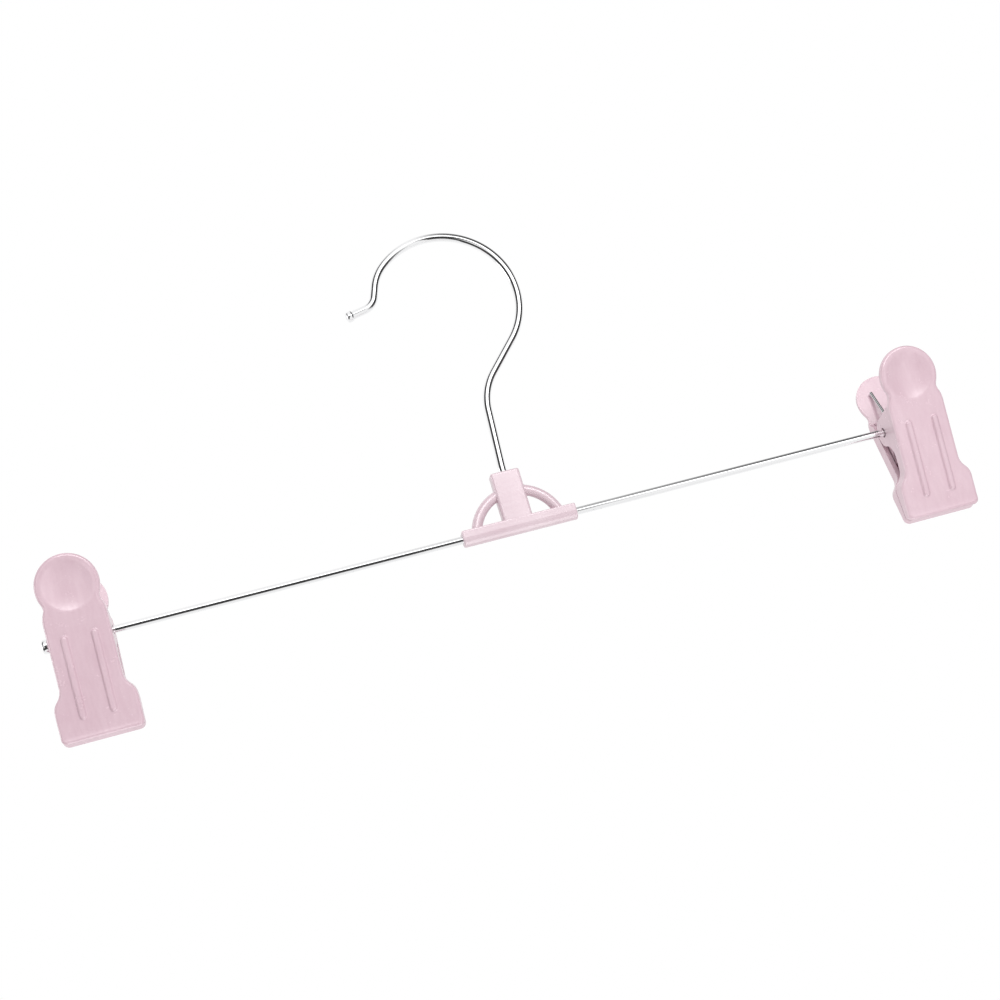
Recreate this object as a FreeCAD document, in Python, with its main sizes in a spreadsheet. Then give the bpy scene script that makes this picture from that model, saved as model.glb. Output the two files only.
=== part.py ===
"""Skirt hanger: a wire hook, a moulded centre block, a wire bar and two sprung clips.

Origin: the seat on the inside of the hook, straight above the stem, where a rail carries the hanger.
+X runs along the bar, +Y points away from the viewer and +Z points up. All lengths are millimetres.
"""
import FreeCAD, Part
import math
import os
import Sketcher

VECTOR = FreeCAD.Vector

# Driving dimensions: lengths in millimetres, angles in degrees.
SIZES = {
    # whole hanger
    "bar_length": 307.0,  # over the two heads
    "hang_drop": 104.0,  # rail seat down to the bar's axis
    "bar_offset": 1.8,  # the bar's middle lies this far to the left of the stem
    # bar
    "bar_dia": 2.5,
    "bar_head_dia": 4.6,
    "bar_head_length": 2.3,
    "bar_head_edge": 0.7,
    # hook, bent from one wire
    "hook_wire_dia": 2.8,
    "hook_arc_radius": 25.14,
    "hook_arc_offset": 2.43,  # the arc's centre lies this far to the left of the stem
    "hook_lean_angle": 43.0,
    "hook_kink_rise": 1.8,  # above the column, where the stem starts to lean
    "hook_kink_radius": 40.0,
    "hook_kink_angle": 3.6,
    "hook_low_bend_radius": 20.3,
    "hook_arc_end_angle": 132.6,
    "hook_close_bend_radius": 16.0,
    "hook_close_bend_angle": 27.8,
    "hook_throat_length": 3.8,
    "hook_tip_bend_radius": 5.6,
    "hook_tip_bend_angle": 58.0,
    "hook_tip_length": 4.6,
    "hook_button_dia": 3.7,
    "hook_button_length": 2.2,
    "hook_button_edge": 0.6,
    "hook_barb_dia": 3.6,
    "hook_barb_tip_dia": 2.0,
    "hook_barb_length": 2.6,
    # centre block
    "sleeve_length": 38.7,
    "sleeve_depth": 5.3,
    "sleeve_top": 2.5,  # flat top above the bar's axis
    "sleeve_edge": 0.5,
    "column_width": 9.9,
    "column_top": 18.75,  # above the bar's axis
    "column_edge": 0.7,
    "column_depth": 5.3,
    "column_corner": 1.0,
    "column_bulge_angle": 5.0,
    "arch_radius": 14.6,
    "arch_centre_drop": 2.4,
    "arch_dia": 3.5,
    "stem_clearance": 0.08,
    "barb_clearance": 0.3,
    "pocket_floor": 3.4,  # above the bar's axis
    "bar_clearance": 0.02,
    # clip jaws, measured about the bar with the jaw's plate upright
    "jaw_tilt": 13.4,
    "jaw_gap": 0.3,
    "disc_dia": 19.9,
    "disc_height": 16.6,
    "neck_radius": 3.0,
    "neck_angle": 25.0,
    "body_width": 19.7,
    "flare_top_drop": 13.6,
    "flare_bottom_drop": 21.0,
    "mouth_width": 25.7,
    "mouth_drop": 30.8,
    "mouth_corner": 2.0,
    "pivot_to_plate": 8.1,
    "plate_thickness": 2.0,
    "plate_edge": 1.0,
    "side_wall": 1.5,
    "side_wall_rise": 5.5,
    "lip_height": 3.4,
    "lip_flare": 0.8,
    "grip_height": 11.6,
    "grip_blend_height": 7.0,
    "grip_groove_dia": 0.7,
    "grip_groove_pitch": 1.9,
    "grip_groove_margin": 2.2,  # the grooves stop this far from the sides
    "ear_radius": 4.8,
    "ear_rise": 8.6,
    "ear_blend_radius": 5.0,
    "ear_thickness": 1.5,
    "ear_side_clearance": 0.35,
    "ear_swing_clearance": 0.4,
    "jaw_bar_clearance": 0.4,
    "dish_dia": 16.2,
    "dish_depth": 1.3,
    "dish_rim_radius": 3.5,
    "rib_spacing": 9.4,
    "rib_width": 2.1,
    "rib_height": 0.85,
    "rib_top_rise": 0.6,
    "rib_bottom_drop": 23.1,
    "rib_edge": 0.75,
    "rib_foot_radius": 0.5,
    "stop_clearance": 0.2,  # between a clip and the bar's head
    # torsion spring
    "spring_wire_dia": 1.2,
    "spring_bar_clearance": 0.35,
    "spring_turn_gap": 0.3375,
    "spring_end_clearance": 1.1,  # least room between the coil and the ears
    "spring_seat_clearance": 0.25,
    "spring_leg_rise": 20.2,
    # every cut runs past its piece by this much
    "overrun": 2.0,
}

CLIP_SIDES = {"left": -1, "right": 1}
GRIP_GROOVES = 5
EASE_TURNS = 0.25  # the spring's pitch grows from nothing over this part of a turn at each end
TOLERANCE = 1e-4
LEAST_SPRING_GAP = 0.4

doc = FreeCAD.newDocument("skirt_hanger")
sheet = doc.addObject("Spreadsheet::Sheet", "Sizes")
for row, (alias, number) in enumerate(SIZES.items(), start=1):
    sheet.set(f"A{row}", alias)
    sheet.set(f"B{row}", str(number))
    sheet.setAlias(f"B{row}", alias)
doc.recompute()


def size(alias):
    """A driving dimension, read from the sheet."""
    return float(sheet.get(alias))


def bind(item, **expressions):
    """Binds properties to expressions on the sheet; a double underscore in a name stands for a dot."""
    for name, expression in expressions.items():
        item.setExpression(name.replace("__", "."), expression)
    return item


def turned(radius, degrees, centre=(0.0, 0.0)):
    """The point at an angle on a circle, in a sketch's plane."""
    angle = math.radians(degrees)
    return (centre[0] + radius * math.cos(angle), centre[1] + radius * math.sin(angle))


def arc_about(centre, radius, start, end):
    """An arc as its start, middle and end points; it runs clockwise where end is below start."""
    return tuple(turned(radius, angle, centre) for angle in (start, (start + end) / 2, end))


def upright_arc(start, end):
    """An arc that leaves its start along the upright and ends at another point."""
    across = end[0] - start[0]
    along = end[1] - start[1]
    bend = 2 * math.atan2(abs(across), abs(along))
    radius = abs(along) / math.sin(bend)
    sideways = radius * (1 - math.cos(bend / 2)) * math.copysign(1, across)
    forwards = radius * math.sin(bend / 2) * math.copysign(1, along)
    return (start, (start[0] + sideways, start[1] + forwards), end)


def ogee(start, end):
    """Two equal arcs that lead from one upright line to another, upright at both ends."""
    middle = ((start[0] + end[0]) / 2, (start[1] + end[1]) / 2)
    return [upright_arc(start, middle), tuple(reversed(upright_arc(end, middle)))]


def crossing(first, first_heading, second, second_heading):
    """Where two lines meet, each given by a point and a heading in degrees."""
    across, along = turned(1.0, first_heading)
    other_across, other_along = turned(1.0, second_heading)
    gap = (second[0] - first[0], second[1] - first[1])
    reach = (gap[0] * other_along - gap[1] * other_across) / (across * other_along - along * other_across)
    return turned(reach, first_heading, first)


def bend_at(corner, heading, next_heading, radius):
    """The clockwise arc of a radius that rounds a corner between two headings in degrees."""
    lead = radius * math.tan(math.radians(heading - next_heading) / 2)
    start = turned(-lead, heading, corner)
    centre = turned(radius, heading - 90.0, start)
    return arc_about(centre, radius, heading + 90.0, next_heading + 90.0)


def chain(*points):
    """Straight pieces through the points in turn."""
    return list(zip(points, points[1:]))


def box_around(half_width, low, high):
    """A closed box that is centred on the upright axis."""
    corners = [(-half_width, low), (half_width, low), (half_width, high), (-half_width, high)]
    return chain(*corners, corners[0])


def mirrored(pieces):
    """The same pieces on the other side of the upright axis, run through backwards."""
    return [tuple((-x, y) for x, y in reversed(piece)) for piece in reversed(pieces)]


def add_sketch(body, name, role, **offsets):
    """A sketch on one of the body's own origin planes, moved by offsets that follow the sheet."""
    sketch = body.newObject("Sketcher::SketchObject", name)
    plane = next(item for item in body.Origin.OriginFeatures if item.Role == role)
    sketch.AttachmentSupport = [(plane, "")]
    sketch.MapMode = "FlatFace"
    for axis, expression in offsets.items():
        sketch.setExpression(f"AttachmentOffset.Base.{axis}", expression)
    return sketch


def add_loop(sketch, pieces):
    """Adds lines and arcs that meet end to end as one closed loop, and returns their numbers."""
    numbers = []
    for piece in pieces:
        points = [VECTOR(x, y, 0) for x, y in piece]
        curve = Part.LineSegment(*points) if len(points) == 2 else Part.Arc(*points)
        numbers.append(sketch.addGeometry(curve, False))
    for index, number in enumerate(numbers):
        following = numbers[(index + 1) % len(numbers)]
        meeting = VECTOR(*pieces[index][-1], 0)
        ends = [min((1, 2), key=lambda end: (sketch.getPoint(item, end) - meeting).Length)
                for item in (number, following)]
        sketch.addConstraint(Sketcher.Constraint("Coincident", number, ends[0], following, ends[1]))
    return numbers


def drive(sketch, kind, *elements, by):
    """Adds one dimension to a sketch and binds it to the sheet."""
    name = f"size{sketch.ConstraintCount}"
    start_value = sketch.evalExpression(by)
    index = sketch.addConstraint(Sketcher.Constraint(kind, *elements, float(start_value)))
    sketch.renameConstraint(index, name)
    sketch.setExpression(f"Constraints.{name}", by)


def add_circle(sketch, centre, diameter):
    """A circle whose diameter follows the sheet."""
    radius = float(sketch.evalExpression(diameter)) / 2
    circle = sketch.addGeometry(Part.Circle(VECTOR(*centre, 0), VECTOR(0, 0, 1), radius), False)
    drive(sketch, "Diameter", circle, by=diameter)
    return circle


def build(feature):
    """Builds the document up to a new feature and stops where the feature failed."""
    doc.recompute()
    if "Invalid" in feature.State or feature.Shape.isNull():
        raise ValueError(f"{feature.Label} did not build")
    return feature


def add_feature(body, kind, name, sketch, **settings):
    """A sketch-based feature; it is built at once, so that the next feature can read its shape."""
    feature = body.newObject(f"PartDesign::{kind}", name)
    feature.Profile = sketch
    expressions = settings.pop("expressions", {})
    for setting, value in settings.items():
        setattr(feature, setting, value)
    bind(feature, **expressions)
    return build(feature)


def add_cut(body, kind, name, sketch, **settings):
    """A feature that has to take material away: the volume is compared."""
    before = body.Shape.Volume
    feature = add_feature(body, kind, name, sketch, **settings)
    if not body.Shape.Volume < before:
        raise ValueError(f"{body.Label}: {name} cut nothing")
    return feature


def mirror_feature(body, name, feature):
    """Repeats a feature on the other side of the body's YZ plane."""
    plane = next(item for item in body.Origin.OriginFeatures if item.Role == "YZ_Plane")
    copy = body.newObject("PartDesign::Mirrored", name)
    copy.Originals = [feature]
    copy.MirrorPlane = (plane, [""])
    body.Tip = copy
    return build(copy)


def round_edges(body, name, radius, chosen):
    """Rounds the edges of the body's latest feature that the test picks."""
    base = body.Tip
    edges = [f"Edge{number}" for number, edge in enumerate(base.Shape.Edges, start=1) if chosen(edge)]
    fillet = body.newObject("PartDesign::Fillet", name)
    fillet.Base = (base, edges)
    bind(fillet, Radius=radius)
    return build(fillet)


def on_plane(edge, axis, place):
    """True where the whole edge lies on the plane that stands at a place along an axis."""
    box = edge.BoundBox
    low = getattr(box, f"{axis}Min")
    high = getattr(box, f"{axis}Max")
    return abs(low - place) < TOLERANCE and abs(high - place) < TOLERANCE


def new_body(name):
    """An empty body with its own label, which names its file."""
    body = doc.addObject("PartDesign::Body", name)
    body.Label = name
    return body


def make_hook():
    """One round wire bent in the XZ plane: barbed stem, low bend, rail arc, throat, turned-out tip."""
    wire_radius = size("hook_wire_dia") / 2
    arc_radius = size("hook_arc_radius")
    offset = size("hook_arc_offset")
    lean = size("hook_lean_angle")
    # the arc's inside passes through the seat at the origin
    centre = (-offset, -math.sqrt((arc_radius - wire_radius) ** 2 - offset ** 2))
    lean_top = turned(arc_radius, -lean, centre)
    barb_low = size("pocket_floor") + size("barb_clearance") - size("hang_drop")
    stem_foot = barb_low + size("hook_barb_length") / 2
    # the stem leans a little from just above the column, and then more at the low bend
    kink_corner = (0.0, size("column_top") + size("hook_kink_rise") - size("hang_drop"))
    stem_heading = 90.0 - size("hook_kink_angle")
    kink = bend_at(kink_corner, 90.0, stem_heading, size("hook_kink_radius"))
    low_corner = crossing(kink_corner, stem_heading, lean_top, 90.0 - lean)
    low_bend = bend_at(low_corner, stem_heading, 90.0 - lean, size("hook_low_bend_radius"))
    rail_arc = arc_about(centre, arc_radius, -lean, size("hook_arc_end_angle"))
    close_radius = size("hook_close_bend_radius")
    close_centre = turned(arc_radius - close_radius, size("hook_arc_end_angle"), centre)
    throat_angle = size("hook_arc_end_angle") + size("hook_close_bend_angle")
    close_bend = arc_about(close_centre, close_radius, size("hook_arc_end_angle"), throat_angle)
    throat_end = turned(size("hook_throat_length"), throat_angle + 90.0, close_bend[-1])
    tip_radius = size("hook_tip_bend_radius")
    tip_centre = turned(tip_radius, throat_angle, throat_end)
    tip_angle = throat_angle - size("hook_tip_bend_angle")
    tip_bend = arc_about(tip_centre, tip_radius, throat_angle + 180.0, tip_angle + 180.0)
    tip_heading = tip_angle + 90.0
    tip_end = turned(size("hook_tip_length"), tip_heading, tip_bend[-1])
    runs = [((0.0, stem_foot), kink[0]), kink, (kink[-1], low_bend[0]), low_bend,
            (low_bend[-1], rail_arc[0]), rail_arc, close_bend, (close_bend[-1], throat_end), tip_bend,
            (tip_bend[-1], tip_end)]
    edges = []
    for run in runs:
        points = [VECTOR(x, 0, z) for x, z in run]
        curve = Part.LineSegment(*points) if len(points) == 2 else Part.Arc(*points)
        edges.append(curve.toShape())
    path = doc.addObject("Part::Feature", "hook_path")
    path.Shape = Part.Wire(edges)
    section = doc.addObject("Part::Circle", "hook_section")
    section.Placement.Base = VECTOR(0, 0, stem_foot)
    bind(section, Radius="Sizes.hook_wire_dia / 2")
    wire = doc.addObject("Part::Sweep", "hook_wire")
    wire.Sections = [section]
    wire.Spine = (path, [f"Edge{number}" for number in range(1, len(edges) + 1)])
    wire.Solid = True
    barb = doc.addObject("Part::Cone", "hook_barb")
    bind(barb, Radius1="Sizes.hook_barb_tip_dia / 2", Radius2="Sizes.hook_barb_dia / 2",
         Height="Sizes.hook_barb_length",
         Placement__Base__z="Sizes.pocket_floor + Sizes.barb_clearance - Sizes.hang_drop")
    button = doc.addObject("Part::Cylinder", "hook_button")
    bind(button, Radius="Sizes.hook_button_dia / 2", Height="Sizes.hook_button_length")
    # the button's own axis is turned from +Z, about Y, to the wire's heading at the tip
    heading = FreeCAD.Rotation(VECTOR(0, 1, 0), 90.0 - tip_heading)
    button.Placement = FreeCAD.Placement(VECTOR(tip_end[0], 0, tip_end[1]), heading)
    doc.recompute()
    rounded = doc.addObject("Part::Fillet", "hook_button_rounded")
    rounded.Base = button
    rims = [number for number, edge in enumerate(button.Shape.Edges, start=1) if edge.Closed]
    rounded.Edges = [(number, size("hook_button_edge"), size("hook_button_edge")) for number in rims]
    hook = doc.addObject("Part::MultiFuse", "hook")
    hook.Shapes = [wire, barb, rounded]
    hook.Label = "hook"
    return hook


def make_bar():
    """Straight wire with an upset, rounded head at each end, turned about the X axis."""
    bar = new_body("bar")
    half = size("bar_length") / 2
    radius = size("bar_dia") / 2
    head_radius = size("bar_head_dia") / 2
    shoulder = half - size("bar_head_length")
    profile = add_sketch(bar, "bar_profile", "XZ_Plane")
    right = chain((0.0, radius), (shoulder, radius), (shoulder, head_radius), (half, head_radius),
                  (half, 0.0))
    left = mirrored(right)
    lines = add_loop(profile, right + [((half, 0.0), (-half, 0.0))] + left)
    axis_line = lines[len(right)]
    drive(profile, "DistanceX", axis_line, 2, axis_line, 1, by="Sizes.bar_length")
    drive(profile, "DistanceY", -1, 1, lines[0], 1, by="Sizes.bar_dia / 2")
    drive(profile, "DistanceY", -1, 1, lines[2], 2, by="Sizes.bar_head_dia / 2")
    add_feature(bar, "Revolution", "bar_turned", profile, ReferenceAxis=(profile, ["H_Axis"]), Angle=360.0)
    round_edges(bar, "bar_head_rounding", "Sizes.bar_head_edge",
                lambda edge: edge.Closed and abs(edge.BoundBox.ZMax - head_radius) < TOLERANCE)
    bind(bar, Placement__Base__x="-Sizes.bar_offset", Placement__Base__z="-Sizes.hang_drop")
    return bar


def make_centre_block():
    """One moulding: sleeve on the bar, bulged column round the stem, and a half-ring arch."""
    block = new_body("centre_block")
    half_depth = size("sleeve_depth") / 2
    half_length = size("sleeve_length") / 2
    top = size("sleeve_top")
    section = add_sketch(block, "sleeve_section", "YZ_Plane")
    upper = chain((half_depth, 0.0), (half_depth, top), (-half_depth, top), (-half_depth, 0.0))
    lines = add_loop(section, upper + [arc_about((0.0, 0.0), half_depth, 180.0, 360.0)])
    drive(section, "DistanceX", lines[1], 2, lines[1], 1, by="Sizes.sleeve_depth")
    drive(section, "DistanceY", -1, 1, lines[1], 1, by="Sizes.sleeve_top")
    add_feature(block, "Pad", "sleeve", section, SideType="Symmetric",
                expressions={"Length": "Sizes.sleeve_length"})
    # both ends are rounded, and so are the two long edges of the flat top
    round_edges(block, "sleeve_rounding", "Sizes.sleeve_edge",
                lambda edge: on_plane(edge, "Z", top) or any(on_plane(edge, "X", side * half_length)
                                                             for side in (1, -1)))
    # the column starts inside the sleeve; its front and back are bulged and its corners rounded
    half_column = size("column_depth") / 2
    half_width = size("column_width") / 2
    corner = size("column_corner")
    bulge = size("column_bulge_angle")
    bulge_radius = corner + (half_width - corner) / math.sin(math.radians(bulge))
    bulge_centre = (0.0, half_column - bulge_radius)
    corner_centre = turned(bulge_radius - corner, 90.0 - bulge, bulge_centre)
    right_corner = arc_about(corner_centre, corner, 0.0, 90.0 - bulge)
    back_face = arc_about(bulge_centre, bulge_radius, 90.0 - bulge, 90.0 + bulge)
    back = [right_corner, back_face] + mirrored([right_corner])
    front = [tuple((-x, -y) for x, y in piece) for piece in back]
    plan = add_sketch(block, "column_plan", "XY_Plane")
    lines = add_loop(plan, back + [(back[-1][-1], front[0][0])] + front + [(front[-1][-1], back[0][0])])
    drive(plan, "DistanceX", lines[3], 1, lines[7], 1, by="Sizes.column_width")
    drive(plan, "Radius", lines[0], by="Sizes.column_corner")
    column_top = size("column_top")
    add_feature(block, "Pad", "column", plan, expressions={"Length": "Sizes.column_top"})
    round_edges(block, "column_top_rounding", "Sizes.column_edge",
                lambda edge: on_plane(edge, "Z", column_top))
    # arched ring over the sleeve, round in section, passing through the column
    ring = add_sketch(block, "arch_section", "YZ_Plane", y="-Sizes.arch_centre_drop")
    circle = add_circle(ring, (0.0, size("arch_radius")), "Sizes.arch_dia")
    drive(ring, "DistanceY", -1, 1, circle, 3, by="Sizes.arch_radius")
    # both feet end at the height of the bar's axis, inside the sleeve
    add_feature(block, "Revolution", "arch", ring, ReferenceAxis=(ring, ["H_Axis"]), Midplane=True,
                expressions={"Angle": "2 * acos(Sizes.arch_centre_drop / Sizes.arch_radius)"})
    bore = add_sketch(block, "bar_bore_circle", "YZ_Plane")
    add_circle(bore, (0.0, 0.0), "Sizes.bar_dia + 2 * Sizes.bar_clearance")
    add_cut(block, "Pocket", "bar_bore", bore, Type="ThroughAll", SideType="Symmetric")
    # the stem's bore opens below into the pocket that holds the barb
    bore_radius = size("hook_wire_dia") / 2 + size("stem_clearance")
    pocket_radius = size("hook_barb_dia") / 2 + size("barb_clearance")
    floor = size("pocket_floor")
    ceiling = floor + size("hook_barb_length") + 2 * size("barb_clearance")
    past_top = column_top + size("overrun")
    stem = add_sketch(block, "stem_bore_profile", "XZ_Plane")
    lines = add_loop(stem, chain((0.0, floor), (pocket_radius, floor), (pocket_radius, ceiling),
                                 (bore_radius, ceiling), (bore_radius, past_top), (0.0, past_top),
                                 (0.0, floor)))
    drive(stem, "DistanceY", -1, 1, lines[0], 1, by="Sizes.pocket_floor")
    drive(stem, "DistanceX", -1, 1, lines[3], 1, by="Sizes.hook_wire_dia / 2 + Sizes.stem_clearance")
    drive(stem, "DistanceX", -1, 1, lines[1], 1, by="Sizes.hook_barb_dia / 2 + Sizes.barb_clearance")
    add_cut(block, "Groove", "stem_bore", stem, ReferenceAxis=(stem, ["V_Axis"]), Angle=360.0)
    bind(block, Placement__Base__z="-Sizes.hang_drop")
    return block


def jaw_outline():
    """Right half of a jaw's front view, from the top of the disc to the middle of the mouth's edge."""
    disc_radius = size("disc_dia") / 2
    disc_centre = (0.0, size("disc_height"))
    neck_angle = size("neck_angle")
    neck_radius = size("neck_radius")
    half_body = size("body_width") / 2
    half_mouth = size("mouth_width") / 2
    bottom = -size("mouth_drop")
    corner = size("mouth_corner")
    disc = arc_about(disc_centre, disc_radius, 90.0, -neck_angle)
    neck_centre = turned(disc_radius + neck_radius, -neck_angle, disc_centre)
    neck = arc_about(neck_centre, neck_radius, 180.0 - neck_angle, 180.0 + neck_angle)
    shoulder_radius = (half_body - neck[-1][0]) / (1 - math.cos(math.radians(neck_angle)))
    shoulder_height = neck[-1][1] - shoulder_radius * math.sin(math.radians(neck_angle))
    shoulder = arc_about((half_body - shoulder_radius, shoulder_height), shoulder_radius, neck_angle, 0.0)
    flare_top = (half_body, -size("flare_top_drop"))
    flare_bottom = (half_mouth, -size("flare_bottom_drop"))
    corner_top = (half_mouth, bottom + corner)
    rounded_corner = arc_about((half_mouth - corner, bottom + corner), corner, 0.0, -90.0)
    return [disc, neck, shoulder, (shoulder[-1], flare_top), *ogee(flare_top, flare_bottom),
            (flare_bottom, corner_top), rounded_corner, (rounded_corner[-1], (0.0, bottom))]


def grip_line(height):
    """Where the gripping face stands at a height: upright in the clip, so leaning in the tilted jaw."""
    tilt = math.radians(size("jaw_tilt"))
    return (height * math.tan(tilt) - size("jaw_gap") / 2 / math.cos(tilt), height)


def jaw_depths():
    """How far the plate's outer face, its inner face and the side walls' edge lie in front of the bar."""
    inner = size("pivot_to_plate")
    return inner + size("plate_thickness"), inner, size("ear_radius") + size("ear_swing_clearance")


def jaw_side_profile():
    """Closed side view of a jaw without its ears: plate with a flared lip, gripping wedge, side walls."""
    outer, inner, wall = jaw_depths()
    past_top = size("disc_height") + size("disc_dia") / 2 + size("overrun")
    bottom = -size("mouth_drop")
    past_bottom = bottom - size("overrun")
    grip_top = grip_line(bottom + size("grip_height"))
    wall_low = (-wall, grip_top[1] + size("grip_blend_height"))
    wall_high = (-wall, size("side_wall_rise"))
    plate_low = (-inner, size("side_wall_rise") + inner - wall)
    lip_top = (-outer, bottom + size("lip_height"))
    lip_foot = (-outer - size("lip_flare"), bottom)
    plate = chain((-inner, past_top), (-outer, past_top), lip_top)
    mouth = chain(lip_foot, (lip_foot[0], past_bottom), grip_line(past_bottom), grip_top)
    back = chain(wall_low, wall_high, plate_low, (-inner, past_top))
    return plate + [upright_arc(lip_top, lip_foot)] + mouth + ogee(grip_top, wall_low) + back


def ear_profile():
    """Closed side view of one ear: a round end about the bar that runs into the plate."""
    radius = size("ear_radius")
    blend = size("ear_blend_radius")
    wall = jaw_depths()[2]
    root = -(size("pivot_to_plate") + size("plate_thickness") / 2)
    shoulder = (root, size("ear_rise"))
    upper = math.degrees(math.atan2(shoulder[1], shoulder[0]) - math.acos(radius / math.hypot(*shoulder)))
    blend_across = blend - wall
    blend_centre = (blend_across, -math.sqrt((radius + blend) ** 2 - blend_across ** 2))
    lower = math.degrees(math.atan2(blend_centre[1], blend_centre[0]))
    end = arc_about((0.0, 0.0), radius, upper, lower)
    fillet = arc_about(blend_centre, blend, lower + 180.0, 180.0)
    return [(shoulder, end[0]), end, fillet, *chain(fillet[-1], (root, blend_centre[1]), shoulder)]


def make_jaw(name, ear_inset):
    """One clip half about the bar, its plate upright on the -Y side; ear_inset is a sheet expression."""
    jaw = new_body(name)
    outer = jaw_depths()[0]
    half_mouth = size("mouth_width") / 2
    bottom = -size("mouth_drop")
    disc_top = size("disc_height") + size("disc_dia") / 2
    overrun = size("overrun")
    side_view = add_sketch(jaw, f"{name}_side_view", "YZ_Plane")
    lines = add_loop(side_view, jaw_side_profile())
    drive(side_view, "DistanceX", lines[1], 1, -1, 1, by="Sizes.pivot_to_plate + Sizes.plate_thickness")
    drive(side_view, "DistanceX", lines[0], 2, lines[0], 1, by="Sizes.plate_thickness")
    add_feature(jaw, "Pad", f"{name}_block", side_view, SideType="Symmetric",
                expressions={"Length": "Sizes.mouth_width + 2 * Sizes.overrun"})
    # the back is hollow between the side walls, above the gripping wedge
    hollow = add_sketch(jaw, f"{name}_hollow_view", "XZ_Plane", z="Sizes.pivot_to_plate")
    half_hollow = size("body_width") / 2 - size("side_wall")
    lines = add_loop(hollow, box_around(half_hollow, bottom + size("grip_height"), disc_top + overrun))
    drive(hollow, "DistanceX", -1, 1, lines[1], 1, by="Sizes.body_width / 2 - Sizes.side_wall")
    add_cut(jaw, "Pocket", f"{name}_hollow", hollow, Type="ThroughAll")
    ear_view = add_sketch(jaw, f"{name}_ear_view", "YZ_Plane",
                          z=f"Sizes.body_width / 2 - Sizes.ear_thickness - ({ear_inset})")
    lines = add_loop(ear_view, ear_profile())
    drive(ear_view, "Radius", lines[1], by="Sizes.ear_radius")
    ear = add_feature(jaw, "Pad", f"{name}_ear", ear_view, expressions={"Length": "Sizes.ear_thickness"})
    mirror_feature(jaw, f"{name}_ears", ear)
    # everything outside the front view is trimmed away
    front_view = add_sketch(jaw, f"{name}_front_view", "XZ_Plane")
    add_loop(front_view, box_around(half_mouth + 2 * overrun, bottom - 2 * overrun, disc_top + 2 * overrun))
    half = jaw_outline()
    lines = add_loop(front_view, half + mirrored(half))
    drive(front_view, "Radius", lines[0], by="Sizes.disc_dia / 2")
    drive(front_view, "DistanceY", -1, 1, lines[0], 3, by="Sizes.disc_height")
    drive(front_view, "DistanceX", -1, 1, lines[3], 1, by="Sizes.body_width / 2")
    drive(front_view, "DistanceX", -1, 1, lines[6], 1, by="Sizes.mouth_width / 2")
    add_cut(jaw, "Pocket", f"{name}_trim", front_view, Type="ThroughAll", SideType="Symmetric")
    # the rim is rounded all round, but not the line across the plate where the lip begins
    lip_top = bottom + size("lip_height")
    round_edges(jaw, f"{name}_rim", "Sizes.plate_edge",
                lambda edge: edge.BoundBox.YMax < TOLERANCE - outer and not on_plane(edge, "Z", lip_top))
    bar_hole = add_sketch(jaw, f"{name}_bar_hole_circle", "YZ_Plane")
    add_circle(bar_hole, (0.0, 0.0), "Sizes.bar_dia + 2 * Sizes.jaw_bar_clearance")
    add_cut(jaw, "Pocket", f"{name}_bar_hole", bar_hole, Type="ThroughAll", SideType="Symmetric")
    # the finger dish is cut by a large ball that stands before the disc, and its rim is rolled
    ball = "((Sizes.dish_dia ^ 2 / 4 + Sizes.dish_depth ^ 2) / (2 * Sizes.dish_depth))"
    ball_centre = f"-(Sizes.pivot_to_plate + Sizes.plate_thickness - Sizes.dish_depth) - {ball}"
    dish_view = add_sketch(jaw, f"{name}_dish_view", "YZ_Plane", x=ball_centre, y="Sizes.disc_height")
    ball_radius = float(dish_view.evalExpression(ball))
    half_circle = arc_about((0.0, 0.0), ball_radius, 90.0, 270.0)
    lines = add_loop(dish_view, [half_circle, (half_circle[-1], half_circle[0])])
    drive(dish_view, "Radius", lines[0], by=ball)
    add_cut(jaw, "Groove", f"{name}_dish", dish_view, ReferenceAxis=(dish_view, ["V_Axis"]), Angle=360.0)
    round_edges(jaw, f"{name}_dish_rim", "Sizes.dish_rim_radius",
                lambda edge: edge.Closed and on_plane(edge, "Y", -outer))
    # two raised ribs run down the outer face
    rib_view = add_sketch(jaw, f"{name}_rib_view", "XZ_Plane",
                          z="Sizes.pivot_to_plate + Sizes.plate_thickness / 2")
    rib_radius = size("rib_width") / 2
    rib_across = size("rib_spacing") / 2
    rib_end = arc_about((rib_across, size("rib_top_rise")), rib_radius, 180.0, 0.0)
    rib_foot = arc_about((rib_across, -size("rib_bottom_drop")), rib_radius, 0.0, -180.0)
    rib = [rib_end, (rib_end[-1], rib_foot[0]), rib_foot, (rib_foot[-1], rib_end[0])]
    rounded_tops = (add_loop(rib_view, rib)[0], add_loop(rib_view, mirrored(rib))[-1])
    for rounded_top in rounded_tops:
        drive(rib_view, "Radius", rounded_top, by="Sizes.rib_width / 2")
    add_feature(jaw, "Pad", f"{name}_ribs", rib_view,
                expressions={"Length": "Sizes.plate_thickness / 2 + Sizes.rib_height"})
    round_edges(jaw, f"{name}_rib_rounding", "Sizes.rib_edge",
                lambda edge: on_plane(edge, "Y", -outer - size("rib_height")))
    reach = rib_across + rib_radius + TOLERANCE
    rib_top = size("rib_top_rise") + rib_radius + TOLERANCE
    round_edges(jaw, f"{name}_rib_feet", "Sizes.rib_foot_radius",
                lambda edge: (on_plane(edge, "Y", -outer) and edge.BoundBox.XMax < reach
                              and edge.BoundBox.XMin > -reach and edge.BoundBox.ZMax < rib_top))
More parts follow.
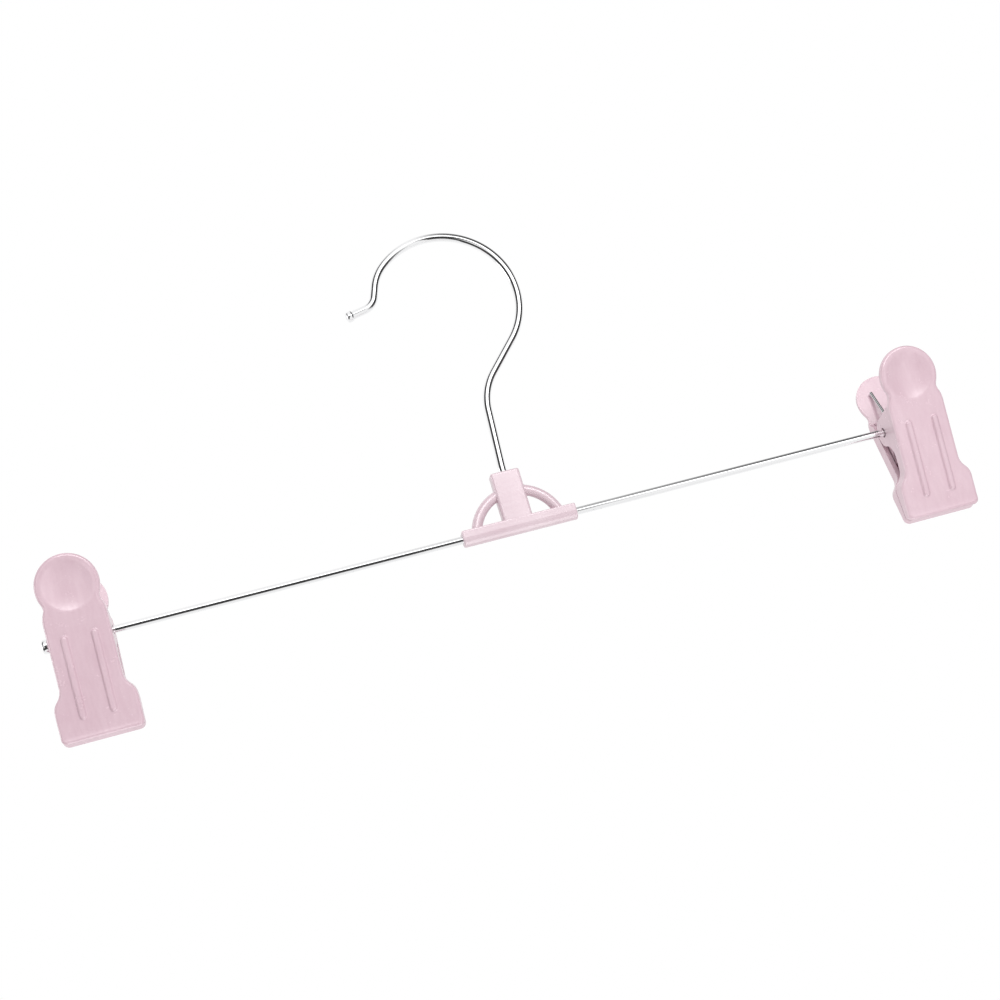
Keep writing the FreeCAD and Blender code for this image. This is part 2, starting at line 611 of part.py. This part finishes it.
    # half-round grooves across the gripping face
    groove_view = add_sketch(jaw, f"{name}_grip_view", "YZ_Plane")
    for count in range(1, GRIP_GROOVES + 1):
        height = bottom + count * size("grip_groove_pitch")
        add_circle(groove_view, grip_line(height), "Sizes.grip_groove_dia")
    add_cut(jaw, "Pocket", f"{name}_grip", groove_view, SideType="Symmetric",
            expressions={"Length": "Sizes.mouth_width - 2 * Sizes.grip_groove_margin"})
    return jaw


def arc_middle(start, heading, end):
    """Middle of the arc that leaves a point along a heading and ends at another point."""
    chord = end - start
    along = VECTOR(chord).normalize()
    bulge = heading - along * heading.dot(along)
    turn = math.atan2(bulge.Length, heading.dot(along))
    return (start + end) / 2 + bulge.normalize() * (chord.Length / 2 * math.tan(turn / 2))


def biarc(start, heading, end, end_heading):
    """Two arcs that join two points and meet smoothly, along the headings at both ends."""
    chord = end - start
    lean = chord.dot(heading + end_heading)
    opening = 2 * (1 - heading.dot(end_heading))
    lead = (math.sqrt(lean ** 2 + opening * chord.dot(chord)) - lean) / opening
    joint = (start + end + (heading - end_heading) * lead) / 2
    first = Part.Arc(start, arc_middle(start, heading, joint), joint)
    last = Part.Arc(joint, arc_middle(end, -end_heading, joint), end)
    return [first, last]


def spring_runs():
    """Centre line of a spring about the bar: rear leg, coil wound clockwise, front leg."""
    wire = size("spring_wire_dia")
    radius = size("bar_dia") / 2 + size("spring_bar_clearance") + wire / 2
    # the turns close up at the ends, where the pitch is eased, and still keep their gap there
    pitch = (wire + size("spring_turn_gap")) / (1 - EASE_TURNS)
    tilt = math.radians(size("jaw_tilt"))
    seat = size("pivot_to_plate") - wire / 2 - size("spring_seat_clearance")
    rise = size("spring_leg_rise")
    tip = (seat * math.cos(tilt) + rise * math.sin(tilt), rise * math.cos(tilt) - seat * math.sin(tilt))
    start_angle = math.atan2(tip[1], tip[0]) - math.acos(radius / math.hypot(*tip))
    # the legs leave the coil on opposite sides, so it holds whole turns and this part of one
    part_turn = (2 * start_angle - math.pi) % (2 * math.pi) / (2 * math.pi)
    ear_face = size("body_width") / 2 - 2 * size("ear_thickness") - size("ear_side_clearance")
    room = 2 * (ear_face - size("spring_end_clearance")) - wire
    turns = math.floor(room / pitch + EASE_TURNS - part_turn) + part_turn
    half_length = pitch * (turns - EASE_TURNS) / 2

    def wound(turn):
        """Point and heading of the coil after a number of turns."""
        eased = min(turn, turns - turn, EASE_TURNS)
        ramp = pitch * eased ** 2 / (2 * EASE_TURNS)
        if turn < EASE_TURNS:
            across = ramp
        elif turns - turn < EASE_TURNS:
            across = 2 * half_length - ramp
        else:
            across = pitch * (turn - EASE_TURNS / 2)
        angle = start_angle - 2 * math.pi * turn
        point = VECTOR(across - half_length, radius * math.cos(angle), radius * math.sin(angle))
        climb = pitch * eased / EASE_TURNS / (2 * math.pi)
        return point, VECTOR(climb, radius * math.sin(angle), -radius * math.cos(angle)).normalize()

    stations = round(4 * turns)
    marks = [wound(turns * index / stations) for index in range(stations + 1)]
    runs = [Part.LineSegment(VECTOR(-half_length, *tip), marks[0][0])]
    for before, after in zip(marks, marks[1:]):
        runs += biarc(*before, *after)
    runs.append(Part.LineSegment(marks[-1][0], VECTOR(half_length, -tip[0], tip[1])))
    return runs


def least_gap(runs, wire):
    """Least room between stretches of the wire that lie more than half a turn apart along it."""
    step = wire / 4
    points = []
    for run in runs:
        count = max(2, math.ceil(run.length() / step))
        points += run.toShape().discretize(Number=count)[:-1]
    apart = math.ceil(math.pi * (size("bar_dia") + wire) / 2 / step)
    pairs = ((near, far) for index, near in enumerate(points) for far in points[index + apart:])
    return min((far - near).Length for near, far in pairs) - wire


def make_spring(name):
    """Torsion spring of round wire, swept in one piece; a wound wire has no simpler solid."""
    runs = spring_runs()
    wire = size("spring_wire_dia")
    gap = least_gap(runs, wire)
    print(f"{name}: least gap to itself {gap:.3f} mm")
    if gap < LEAST_SPRING_GAP:
        raise ValueError(f"{name}: its turns come too close")
    path = Part.Wire([run.toShape() for run in runs])
    start = runs[0].StartPoint
    section = Part.Wire(Part.makeCircle(wire / 2, start, runs[0].EndPoint - start))
    spring = doc.addObject("Part::Feature", name)
    spring.Label = name
    spring.Shape = path.makePipeShell([section], True, False)
    return spring


def place_on_bar(piece, side, turn):
    """Stands a clip's piece on the bar, out against the head, turned as a placement's rotation says."""
    reach = "(Sizes.bar_length / 2 - Sizes.bar_head_length - Sizes.stop_clearance - Sizes.body_width / 2)"
    piece.Placement = FreeCAD.Placement(VECTOR(), turn)
    bind(piece, Placement__Base__x=f"{side} * {reach} - Sizes.bar_offset",
         Placement__Base__z="-Sizes.hang_drop")


pieces = [make_hook(), make_centre_block(), make_bar()]
lean_out = FreeCAD.Rotation(VECTOR(1, 0, 0), size("jaw_tilt"))
face_back = FreeCAD.Rotation(VECTOR(0, 0, 1), 180.0)
for side_name, side in CLIP_SIDES.items():
    front_jaw = make_jaw(f"{side_name}_front_jaw", "0")
    place_on_bar(front_jaw, side, lean_out)
    rear_jaw = make_jaw(f"{side_name}_rear_jaw", "Sizes.ear_thickness + Sizes.ear_side_clearance")
    place_on_bar(rear_jaw, side, face_back.multiply(lean_out))
    spring = make_spring(f"{side_name}_spring")
    place_on_bar(spring, side, FreeCAD.Rotation())
    pieces += [front_jaw, rear_jaw, spring]

doc.recompute()
for item in doc.Objects:
    if "Invalid" in item.State or "Error" in item.State:
        raise ValueError(f"{item.Label} did not build: {item.State}")
os.makedirs("parts", exist_ok=True)
for piece in pieces:
    shape = piece.Shape
    if shape.isNull() or not shape.isValid() or len(shape.Solids) != 1:
        raise ValueError(f"{piece.Label} is not one sound solid")
    shape.exportStep(f"parts/{piece.Label}.step")
    print(f"{piece.Label}: {shape.Volume:.1f} mm3")
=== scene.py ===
import bpy
import numpy as np
from mathutils import Matrix, Vector


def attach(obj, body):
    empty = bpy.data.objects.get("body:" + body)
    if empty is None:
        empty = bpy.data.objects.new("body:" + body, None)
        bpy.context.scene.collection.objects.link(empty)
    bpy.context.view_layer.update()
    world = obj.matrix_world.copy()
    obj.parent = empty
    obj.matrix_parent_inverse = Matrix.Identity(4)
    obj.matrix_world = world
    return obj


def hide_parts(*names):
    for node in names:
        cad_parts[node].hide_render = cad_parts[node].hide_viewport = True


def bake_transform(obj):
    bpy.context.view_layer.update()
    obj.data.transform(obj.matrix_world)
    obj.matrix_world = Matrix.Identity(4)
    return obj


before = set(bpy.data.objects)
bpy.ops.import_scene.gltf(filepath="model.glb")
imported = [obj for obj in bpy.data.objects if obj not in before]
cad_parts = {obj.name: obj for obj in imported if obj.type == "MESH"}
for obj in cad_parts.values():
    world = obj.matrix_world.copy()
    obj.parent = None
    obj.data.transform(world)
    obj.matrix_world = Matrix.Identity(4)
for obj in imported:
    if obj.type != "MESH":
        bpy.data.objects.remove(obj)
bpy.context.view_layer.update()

# Centre block: one small pink moulding in satin polypropylene, with a sleeve closed tight on the bar,
# a column that holds the hook's stem and an arch that takes the hook of a second hanger.
# The melt ran along the sleeve, so its faint flow streaks lie along X.


class Paint:
    """A value in a node tree. Sums, differences and products add the Math nodes that work them out."""

    def __init__(self, socket):
        self.socket = socket

    def node(self, kind, settings, sockets, output=0):
        """Any other node of the same tree: its settings first, then the values or links of its sockets."""
        made = self.socket.id_data.nodes.new(kind)
        for name, value in settings.items():
            setattr(made, name, value)
        for key, value in sockets.items():
            if isinstance(value, Paint):
                self.socket.id_data.links.new(value.socket, made.inputs[key])
            else:
                made.inputs[key].default_value = value
        return Paint(made.outputs[output])

    def math(self, operation, *values):
        return self.node("ShaderNodeMath", {"operation": operation}, dict(enumerate(values)))

    def __add__(self, other):
        return self.math("ADD", self, other)

    def __sub__(self, other):
        return self.math("SUBTRACT", self, other)

    def __rsub__(self, other):
        return self.math("SUBTRACT", other, self)

    def __mul__(self, other):
        return self.math("MULTIPLY", self, other)

    def __neg__(self):
        return self.math("SUBTRACT", 0.0, self)

    __radd__ = __add__
    __rmul__ = __mul__

    def step(self, low, high):
        """Rises smoothly from 0 at low to 1 at high; it falls where high is the smaller."""
        return self.node("ShaderNodeMapRange", {"interpolation_type": "SMOOTHSTEP"},
                         {"Value": self, "From Min": low, "From Max": high})

    def stretched(self, scales):
        return self.node("ShaderNodeVectorMath", {"operation": "MULTIPLY"}, {0: self, 1: scales})

    def clouds(self, scale, detail=2.0):
        """Noise about zero, most of it within a quarter either way."""
        return self.node("ShaderNodeTexNoise", {}, {"Vector": self, "Scale": scale, "Detail": detail}) - 0.5

    def specks(self, scale, reach, share):
        """Small round spots: one cell in so many, as far out from its middle as reach."""
        settings = {"feature": "F1", "voronoi_dimensions": "3D"}
        sockets = {"Vector": self, "Scale": scale}
        near = self.node("ShaderNodeTexVoronoi", settings, sockets, "Distance").step(reach, 0.4 * reach)
        chance = self.node("ShaderNodeTexVoronoi", settings, sockets, "Color")
        first = self.node("ShaderNodeSeparateColor", {}, {0: chance})
        return near * first.math("LESS_THAN", first, share)

    def mix(self, start, end):
        """A colour between two colours, by this value."""
        return self.node("ShaderNodeMix", {"data_type": "RGBA"}, {0: self, 6: start, 7: end}, 2)

    def bump(self, strength, distance):
        return self.node("ShaderNodeBump", {}, {"Height": self, "Strength": strength, "Distance": distance})

    def feed(self, shader, name):
        self.socket.id_data.links.new(self.socket, shader.inputs[name])


def new_finish(name, coordinates, **constants):
    """An empty material, its shader with the constants set, and the coordinates it is painted in."""
    material = bpy.data.materials.new(name)
    material.use_nodes = True
    nodes = material.node_tree.nodes
    shader = nodes["Principled BSDF"]
    for constant, value in constants.items():
        shader.inputs[constant.replace("_", " ")].default_value = value
    return material, shader, Paint(nodes.new("ShaderNodeTexCoord").outputs[coordinates])


def pink_plastic(name, flow, deep, pale):
    """Pale pink moulded plastic: clouded pigment, streaks drawn out by flow, fine specks, a satin skin.

    flow is the streaks' number to the metre along X, Y and Z; deep and pale are the pigment's two tones."""
    material, shader, place = new_finish(name, "Object", Specular_IOR_Level=0.95)
    clouds = place.clouds(65.0)
    streaks = place.stretched(flow).clouds(1.0, 3.0)
    grain = place.clouds(1500.0, 3.0)
    tone = 0.5 + 0.5 * clouds + 0.5 * streaks + 0.25 * grain
    colour = tone.mix(deep, pale)
    spots = place.specks(420.0, 0.09, 0.16)
    (0.3 * spots).mix(colour, (0.66, 0.44, 0.51, 1.0)).feed(shader, "Base Color")
    (0.25 + 0.1 * place.clouds(240.0) + 0.08 * grain).feed(shader, "Roughness")
    peel = place.clouds(500.0) + 0.15 * place.clouds(2400.0) + 0.5 * streaks
    peel.bump(0.06, 0.0002).feed(shader, "Normal")
    return material


def dress(node, material):
    """Gives a carried-over solid its finish."""
    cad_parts[node].data.materials.clear()
    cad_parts[node].data.materials.append(material)


dress("centre_block", pink_plastic("block_pink", (60.0, 700.0, 700.0),
                                   (0.61, 0.445, 0.503, 1.0), (0.77, 0.645, 0.688, 1.0)))

# Bar: one straight length of bright zinc-plated drawn steel wire, pushed through the sleeve.
# Both ends are upset into small round heads, which keep the clips on it.
BAR_AXIS = -0.104
BAR_MIDDLE = -0.0018
BAR_HALF = 0.1535
BAR_RADIUS = 0.00125
HEAD_RADIUS = 0.0023
HEAD_LENGTH = 0.0023
HEAD_EDGE = 0.0007


def tube(name, path, stations, radii, across, around=32):
    """Rings carried along a path, closed to a point at both ends.

    A point is the path's place at a station, plus the radius there times the cosine of its angle along
    one cross direction and the sine along the other; the first cross direction follows the vector
    across. The map's u is the angle in turns, and its v the length along the path in metres."""
    lengths = np.concatenate(([0.0], np.cumsum(np.linalg.norm(np.diff(path, axis=0), axis=1))))
    headings = np.gradient(path, lengths, axis=0)

    def along(values):
        return np.stack([np.interp(stations, lengths, column) for column in values.T], axis=1)

    middle = along(path)
    forward = along(headings)
    forward /= np.linalg.norm(forward, axis=1, keepdims=True)
    first = across - forward * (forward @ across)[:, None]
    first /= np.linalg.norm(first, axis=1, keepdims=True)
    second = np.cross(forward, first)
    angle = np.linspace(0.0, 2 * np.pi, around, endpoint=False)[None, :, None]
    rings = middle[1:-1, None] + radii[1:-1, None, None] * (
        np.cos(angle) * first[1:-1, None] + np.sin(angle) * second[1:-1, None])
    count = len(stations) - 2
    points = np.concatenate((rings.reshape(-1, 3), middle[:1], middle[-1:]))
    row = np.arange(count)[:, None] * around
    turn = np.arange(around)
    following = (turn + 1) % around
    low, high = row[:-1], row[1:]
    quads = np.stack((low + turn, low + following, high + following, high + turn), axis=-1).reshape(-1, 4)
    foot = np.stack((np.full(around, count * around), following, turn), axis=-1)
    head = np.stack((np.full(around, count * around + 1), row[-1] + turn, row[-1] + following), axis=-1)
    mesh = bpy.data.meshes.new(name)
    mesh.from_pydata(points.tolist(), [], quads.tolist() + foot.tolist() + head.tolist())
    share = turn / around
    step = 1 / around
    ones = np.ones((count - 1, around))
    side = np.stack((ones * share, ones * (share + step), ones * (share + step), ones * share), axis=-1)
    lower, upper = stations[1:-2, None] * ones, stations[2:-1, None] * ones
    rise = np.stack((lower, lower, upper, upper), axis=-1)
    ends = [np.stack((np.stack((share + step / 2, share + far, share + near), axis=-1),
                      np.stack((pole + 0 * share, rim + 0 * share, rim + 0 * share), axis=-1)), axis=-1)
            for pole, rim, far, near in ((stations[0], stations[1], step, 0.0),
                                         (stations[-1], stations[-2], 0.0, step))]
    sides = np.stack((side, rise), axis=-1)
    corners = np.concatenate((sides.reshape(-1, 2), ends[0].reshape(-1, 2), ends[1].reshape(-1, 2)))
    mesh.uv_layers.new(name="wire").data.foreach_set("uv", corners.ravel())
    mesh.polygons.foreach_set("use_smooth", np.ones(len(mesh.polygons), dtype=bool))
    mesh.set_sharp_from_angle(angle=np.radians(38.0))
    piece = bpy.data.objects.new(name, mesh)
    bpy.context.collection.objects.link(piece)
    return piece


def upset_head(radius, length, edge):
    """Stations and radii of a round head, from the wire outwards: two quarter rounds and a flat end."""
    quarter = np.linspace(0.0, np.pi / 2, 7)
    inner = (edge * (1 - np.cos(quarter)), radius - edge + edge * np.sin(quarter))
    outer = (length - edge + edge * np.sin(quarter), radius - edge + edge * np.cos(quarter))
    stations = np.concatenate((inner[0], outer[0], [length]))
    radii = np.concatenate((inner[1], outer[1], [0.0]))
    return stations, radii


def plated_wire(name, bright, dull, gloss):
    """Drawn wire: die lines along its length, hazy and brighter stretches, and small dark pits.

    The pattern is noise on the tube's own map, with the turn round the wire made a circle to close it."""
    material, shader, place = new_finish(name, "UV", Metallic=1.0)
    parts = place.node("ShaderNodeSeparateXYZ", {}, {0: place})
    turn = 2 * np.pi * parts
    length = Paint(parts.socket.node.outputs[1])
    circle = {0: turn.math("COSINE", turn), 1: turn.math("SINE", turn)}
    skin = place.node("ShaderNodeCombineXYZ", {}, {**circle, 2: 700.0 * length})
    drawn = place.node("ShaderNodeCombineXYZ", {}, {**circle, 2: 9.0 * length})
    lines = drawn.clouds(7.0, 3.0)
    fine_lines = drawn.clouds(22.0, 2.0)
    haze = place.node("ShaderNodeCombineXYZ", {}, {**circle, 2: 90.0 * length}).clouds(1.0)
    pits = skin.specks(1.1, 0.22, 0.05)
    tone = 0.62 + 0.8 * lines + 0.5 * fine_lines + 0.6 * haze
    (0.5 * pits).mix(tone.mix(dull, bright), (0.2, 0.2, 0.205, 1.0)).feed(shader, "Base Color")
    (gloss + 0.12 * haze + 0.1 * lines + 0.2 * pits).feed(shader, "Roughness")
    (lines + 0.7 * fine_lines - 0.6 * pits).bump(0.04, 0.00005).feed(shader, "Normal")
    return material


zinc = plated_wire("zinc_plated_wire", (0.95, 0.95, 0.955, 1.0), (0.78, 0.785, 0.795, 1.0), 0.1)

bar_line = np.array([(BAR_MIDDLE - BAR_HALF, 0.0, BAR_AXIS), (BAR_MIDDLE + BAR_HALF, 0.0, BAR_AXIS)])
head_stations, head_radii = upset_head(HEAD_RADIUS, HEAD_LENGTH, HEAD_EDGE)
shoulder = 2 * BAR_HALF - HEAD_LENGTH
run = np.linspace(HEAD_LENGTH, shoulder, 150)
bar = tube("wire_bar", bar_line,
           np.concatenate((HEAD_LENGTH - head_stations[::-1], run, shoulder + head_stations)),
           np.concatenate((head_radii[::-1], np.full(len(run), BAR_RADIUS), head_radii)),
           np.array((0.0, 0.0, 1.0)))
bar.data.materials.append(zinc)
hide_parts("bar")
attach(bar, "frame")

# Hook: one thicker length of the same plated wire, bent cold in one plane round formers.
# Its lower end is spread into a barb that snaps into the column, so the hook turns but can't pull out,
# and its tip is upset into a small button.
HOOK_RADIUS = 0.0014
HOOK_FOOT = -0.1003
BARB_POINT_RADIUS = 0.0010
BARB_RADIUS = 0.0018
BARB_LENGTH = 0.0026
TIP_LENGTH = 0.0046
BUTTON_RADIUS = 0.00185
BUTTON_LENGTH = 0.0022
BUTTON_EDGE = 0.0006
# Each run is its length in metres and how far it turns to the left in degrees.
HOOK_RUNS = np.array([
    (0.0155929, 0.0),  # stem in the column
    (0.0400 * np.radians(3.6), -3.6),  # slight lean above it
    (0.0189576, 0.0),
    (0.0203 * np.radians(39.4), -39.4),  # low bend
    (0.0135975, 0.0),
    (0.02514 * np.radians(175.6), 175.6),  # arc over the rail
    (0.0160 * np.radians(27.8), 27.8),  # closing bend
    (0.0038, 0.0),  # throat
    (0.0056 * np.radians(58.0), -58.0),  # bend that turns the tip out
    (TIP_LENGTH + BUTTON_LENGTH, 0.0),  # tip and button
])


def bent_wire(start, runs, pieces=60):
    """A wire bent in the XZ plane from a start, at first straight up.

    Every run is cut into equal pieces. A piece's heading is the turn made before it and half its own,
    its chord is its length times the sine of that half over the half, and points are the running sum."""
    lengths = np.repeat(runs[:, 0] / pieces, pieces)
    turns = np.repeat(np.radians(runs[:, 1]) / pieces, pieces)
    heading = np.pi / 2 + np.cumsum(turns) - turns / 2
    chords = lengths * np.sinc(turns / (2 * np.pi))
    steps = np.stack((chords * np.cos(heading), 0 * chords, chords * np.sin(heading)), axis=1)
    return start + np.concatenate((np.zeros((1, 3)), np.cumsum(steps, axis=0)))


hook_line = bent_wire(np.array((0.0, 0.0, HOOK_FOOT)), HOOK_RUNS)
hook_length = np.linalg.norm(np.diff(hook_line, axis=0), axis=1).sum()
button_start = hook_length - BUTTON_LENGTH
button_stations, button_radii = upset_head(BUTTON_RADIUS, BUTTON_LENGTH, BUTTON_EDGE)
barb_stations = np.array([0.0, 0.0, BARB_LENGTH, BARB_LENGTH])
barb_radii = np.array([0.0, BARB_POINT_RADIUS, BARB_RADIUS, HOOK_RADIUS])
hook_run = np.linspace(BARB_LENGTH, button_start, 420)[1:]
hook = tube("wire_hook", hook_line,
            np.concatenate((barb_stations, hook_run, button_start + button_stations)),
            np.concatenate((barb_radii, np.full(len(hook_run), HOOK_RADIUS), button_radii)),
            np.array((0.0, 1.0, 0.0)))
hook.data.materials.append(zinc)
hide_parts("hook")
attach(hook, "hook")

# Clips: four pink jaws of the same plastic, two to a clip, hung on the bar by their ears.
# Each was filled from its finger disc down to its mouth, so the streaks run along the jaw.
jaw_pink = pink_plastic("jaw_pink", (700.0, 700.0, 45.0),
                        (0.615, 0.42, 0.487, 1.0), (0.78, 0.6, 0.66, 1.0))
for jaw in ("left_front_jaw", "left_rear_jaw", "right_front_jaw", "right_rear_jaw"):
    dress(jaw, jaw_pink)

# Springs: one length of bright spring wire to a clip, wound round the bar between the ears.
# The two straight legs press the finger discs apart, so one leg goes with each jaw.
SPRING_RADIUS = 0.0006
SPRING_END_ROUND = 0.00035
COIL_RADIUS = 0.0022
COIL_PITCH = 0.00205
COIL_TURNS = 4.348556
COIL_HALF = 0.004201
COIL_START = np.radians(-27.25998)
EASED = 0.25
LEG_TIP = (0.0117339, 0.0179699)
CLIP_PLACES = {"left": -0.14295, "right": 0.13935}


def spring_line(place):
    """Centre line of a spring: rear leg, coil, front leg.

    The coil's angle falls evenly with the turn; its way along X grows with the square of the turn over
    the eased part at each end and evenly between, so that the end turns close up."""
    turn = np.linspace(0.0, COIL_TURNS, 400)
    left = COIL_TURNS - turn
    across = COIL_PITCH * (turn - EASED / 2)
    across = np.where(turn < EASED, COIL_PITCH * turn ** 2 / (2 * EASED), across)
    across = np.where(left < EASED, 2 * COIL_HALF - COIL_PITCH * left ** 2 / (2 * EASED), across)
    angle = COIL_START - 2 * np.pi * turn
    coil = np.stack((across - COIL_HALF, COIL_RADIUS * np.cos(angle), COIL_RADIUS * np.sin(angle)), axis=1)
    share = np.linspace(0.0, 1.0, 40)[:, None]
    rear_tip = np.array((-COIL_HALF, LEG_TIP[0], LEG_TIP[1]))
    front_tip = np.array((COIL_HALF, -LEG_TIP[0], LEG_TIP[1]))
    rear = rear_tip + share * (coil[0] - rear_tip)
    front = coil[-1] + share * (front_tip - coil[-1])
    return np.concatenate((rear[:-1], coil, front[1:])) + np.array((place, 0.0, BAR_AXIS))


spring_steel = plated_wire("spring_steel", (0.86, 0.86, 0.865, 1.0), (0.6, 0.6, 0.61, 1.0), 0.14)
for side, place in CLIP_PLACES.items():
    wire_line = spring_line(place)
    wire_length = np.linalg.norm(np.diff(wire_line, axis=0), axis=1).sum()
    # the cut ends are dressed to a quarter round
    quarter = np.linspace(0.0, np.pi / 2, 6)
    end_stations = SPRING_END_ROUND * (1 - np.cos(quarter))
    end_radii = SPRING_RADIUS * np.sin(quarter) ** 0.7
    wire_run = np.linspace(SPRING_END_ROUND, wire_length - SPRING_END_ROUND, 520)[1:-1]
    spring = tube(f"{side}_clip_spring", wire_line,
                  np.concatenate((end_stations, wire_run, wire_length - end_stations[::-1])),
                  np.concatenate((end_radii, np.full(len(wire_run), SPRING_RADIUS), end_radii[::-1])),
                  np.array((1.0, 0.0, 0.0)), 20)
    spring.data.materials.append(spring_steel)
    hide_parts(f"{side}_spring")
    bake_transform(spring)

# Studio: the hanger hangs over a pale floor in a white surround, with soft lamps in front, below and
# at the left. Only mirrored light shows the surround's darker parts: a doorway on either side, the
# floor and the tripod before the hanger, and the unlit ceiling.
FLOOR_DROP = -1.5
FLOOR_RADIUS = 0.9

angle = np.linspace(0.0, 2 * np.pi, 96, endpoint=False)
rim = np.stack((FLOOR_RADIUS * np.cos(angle), FLOOR_RADIUS * np.sin(angle), 0 * angle + FLOOR_DROP), axis=1)
floor_mesh = bpy.data.meshes.new("floor")
floor_mesh.from_pydata(rim.tolist(), [], [list(range(len(rim)))])
floor = bpy.data.objects.new("floor", floor_mesh)
bpy.context.collection.objects.link(floor)
floor_white, floor_shader, floor_place = new_finish("floor_white", "Object", Roughness=0.9,
                                                    Specular_IOR_Level=0.0)
floor_mesh.materials.append(floor_white)
grit = 0.9 + 0.06 * floor_place.clouds(30.0)
grit.feed(floor_shader, "Base Color")
seen = floor_place.node("ShaderNodeLightPath", {}, {}, "Is Camera Ray")
mirrored = Paint(seen.socket.node.outputs["Is Glossy Ray"])
through = Paint(seen.socket.node.outputs["Is Transmission Ray"])
white = (seen + mirrored + through).math("MINIMUM", seen + mirrored + through, 1.0)
glow = floor_place.node("ShaderNodeEmission", {}, {"Color": (1.0, 1.0, 1.0, 1.0), "Strength": 1.0})
shown = floor_place.node("ShaderNodeMixShader", {},
                         {0: 0.85 * white, 1: Paint(floor_shader.outputs[0]), 2: glow})
floor_output = floor_white.node_tree.nodes["Material Output"]
floor_white.node_tree.links.new(shown.socket, floor_output.inputs["Surface"])

world = bpy.data.worlds.new("studio")
bpy.context.scene.world = world
world.use_nodes = True
sky = Paint(world.node_tree.nodes.new("ShaderNodeTexCoord").outputs["Generated"])
sky_parts = sky.node("ShaderNodeSeparateXYZ", {}, {0: sky})
sky_x, sky_y, sky_z = (Paint(socket) for socket in sky_parts.socket.node.outputs)
bearing = sky_x.math("ARCTAN2", sky_x, -sky_y) * (180 / np.pi)
height = sky_z.math("ARCSINE", sky_z) * (180 / np.pi)


def band(value, middle, half, soft):
    """1 within half of the middle, falling smoothly to 0 over soft on both sides."""
    away = value.math("ABSOLUTE", value - middle)
    return away.step(half + soft, half)


left_door = band(bearing, -60.0, 24.0, 10.0) * band(height, 20.0, 50.0, 20.0)
right_door = band(bearing, 62.0, 24.0, 10.0) * band(height, 15.0, 40.0, 25.0)
front_floor = band(bearing, -40.0, 48.0, 8.0) * band(height, -50.0, 20.0, 10.0)
tripod = band(bearing, 1.5, 10.5, 3.0) * band(height, -38.0, 52.0, 8.0)
ceiling = 0.75 * band(height, 56.0, 20.0, 12.0) * sky_x.step(0.05, 0.35)
dark = 1 - (1 - left_door) * (1 - right_door) * (1 - front_floor) * (1 - tripod) * (1 - ceiling)
looked = sky.node("ShaderNodeLightPath", {}, {}, "Is Camera Ray")
glanced = Paint(looked.socket.node.outputs["Is Glossy Ray"])
passed = Paint(looked.socket.node.outputs["Is Transmission Ray"])
direct = (looked + passed).math("MINIMUM", looked + passed, 1.0)
soft_light = 0.58 + 0.03 * sky_z + 0.4 * sky_y.step(0.0, 1.0)
level = direct + (1 - direct) * (glanced * (1 - 0.95 * dark) + (1 - glanced) * soft_light)
level.feed(world.node_tree.nodes["Background"], "Strength")
world.node_tree.nodes["Background"].inputs["Color"].default_value = (1.0, 1.0, 1.0, 1.0)

# the window and the low lamp light the plastic alone, so that the polished wire keeps its dark lines
moulded = bpy.data.collections.new("moulded")
for node in ("centre_block", "left_front_jaw", "left_rear_jaw", "right_front_jaw", "right_rear_jaw"):
    moulded.objects.link(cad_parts[node])
AIM = Vector((0.0, 0.0, -0.1))
for name, place, watts, width, depth, lit in (("window", (0.14, -0.86, 0.43), 5.1, 1.0, 0.4, moulded),
                                              ("key_lamp", (0.15, -0.95, 0.3), 2.0, 1.0, 0.4, None),
                                              ("low_lamp", (0.0, -0.15, -0.9), 2.8, 0.7, 0.7, moulded),
                                              ("side_lamp", (-0.97, 0.22, 0.0), 1.5, 0.4, 0.4, None)):
    lamp = bpy.data.lights.new(name, "AREA")
    lamp.shape = "RECTANGLE"
    lamp.energy = watts
    lamp.size = width
    lamp.size_y = depth
    stand = bpy.data.objects.new(name, lamp)
    stand.location = place
    stand.light_linking.receiver_collection = lit
    stand.rotation_euler = (AIM - stand.location).to_track_quat("-Z", "Y").to_euler()
    bpy.context.collection.objects.link(stand)

# Camera: a long lens a little below the bar and to the left, rolled so that the bar climbs to the right.
lens = bpy.data.cameras.new("camera")
lens.sensor_fit = "HORIZONTAL"
lens.sensor_width = 36.0
lens.lens = 63.051
lens.clip_start = 0.01
camera = bpy.data.objects.new("camera", lens)
to_right = Vector((0.9539842, -0.1052114, -0.280793))
to_top = Vector((0.2407601, -0.2894365, 0.9264238))
turned = Matrix((to_right, to_top, to_right.cross(to_top))).transposed().to_4x4()
camera.matrix_world = Matrix.Translation((-0.1060077, -0.5444298, -0.2374776)) @ turned
bpy.context.collection.objects.link(camera)
bpy.context.scene.camera = camera
bpy.context.scene.view_settings.view_transform = "Standard"
